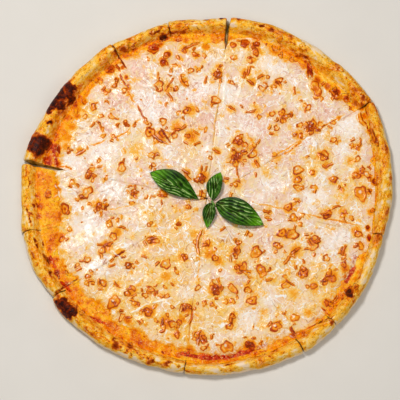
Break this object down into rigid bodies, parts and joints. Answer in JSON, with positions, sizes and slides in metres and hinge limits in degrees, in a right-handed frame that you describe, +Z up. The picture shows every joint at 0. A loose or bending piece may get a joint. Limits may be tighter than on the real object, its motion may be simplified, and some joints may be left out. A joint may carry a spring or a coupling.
{
  "type": "cheese pizza",
  "caption": "Round baked pizza of melted cheese on tomato sauce with an uneven puffed rim, cut into wedges that lie together, and a basil sprig in the middle.",
  "frame": {"origin": "middle of the underside's bounding box, on the plane the pizza rests on", "axes": "+Z up, +X to the right of the picture and +Y to its top; X is the pizza's longest extent and Z its shortest"},
  "size_m": [0.3424, 0.337, 0.0187],
  "materials": {
    "crust": "matt baked dough, golden with char spots, pale flour underneath",
    "sauce": "wet tomato sauce with orange oil",
    "cheese": "melted cheese, satin, with browned blisters",
    "basil": "fresh leaf, softly glossy"
  },
  "bodies": {
    "root": {"crust_01": "crust", "crust_02": "crust", "crust_03": "crust", "crust_04": "crust", "crust_05": "crust", "crust_06": "crust", "crust_07": "crust", "crust_08": "crust", "crust_09": "crust", "crust_10": "crust", "crust_11": "crust", "sauce_01": "sauce", "sauce_02": "sauce", "sauce_03": "sauce", "sauce_04": "sauce", "sauce_05": "sauce", "sauce_06": "sauce", "sauce_07": "sauce", "sauce_08": "sauce", "sauce_09": "sauce", "sauce_10": "sauce", "sauce_11": "sauce", "cheese_01": "cheese", "cheese_02": "cheese", "cheese_03": "cheese", "cheese_04": "cheese", "cheese_05": "cheese", "cheese_06": "cheese", "cheese_07": "cheese", "cheese_08": "cheese", "cheese_09": "cheese", "cheese_10": "cheese", "cheese_11": "cheese", "basil_leaf_left": "basil", "basil_leaf_right": "basil", "basil_leaf_top": "basil", "basil_leaf_bottom": "basil", "basil_stem": "basil"}
  },
  "joints": []
}
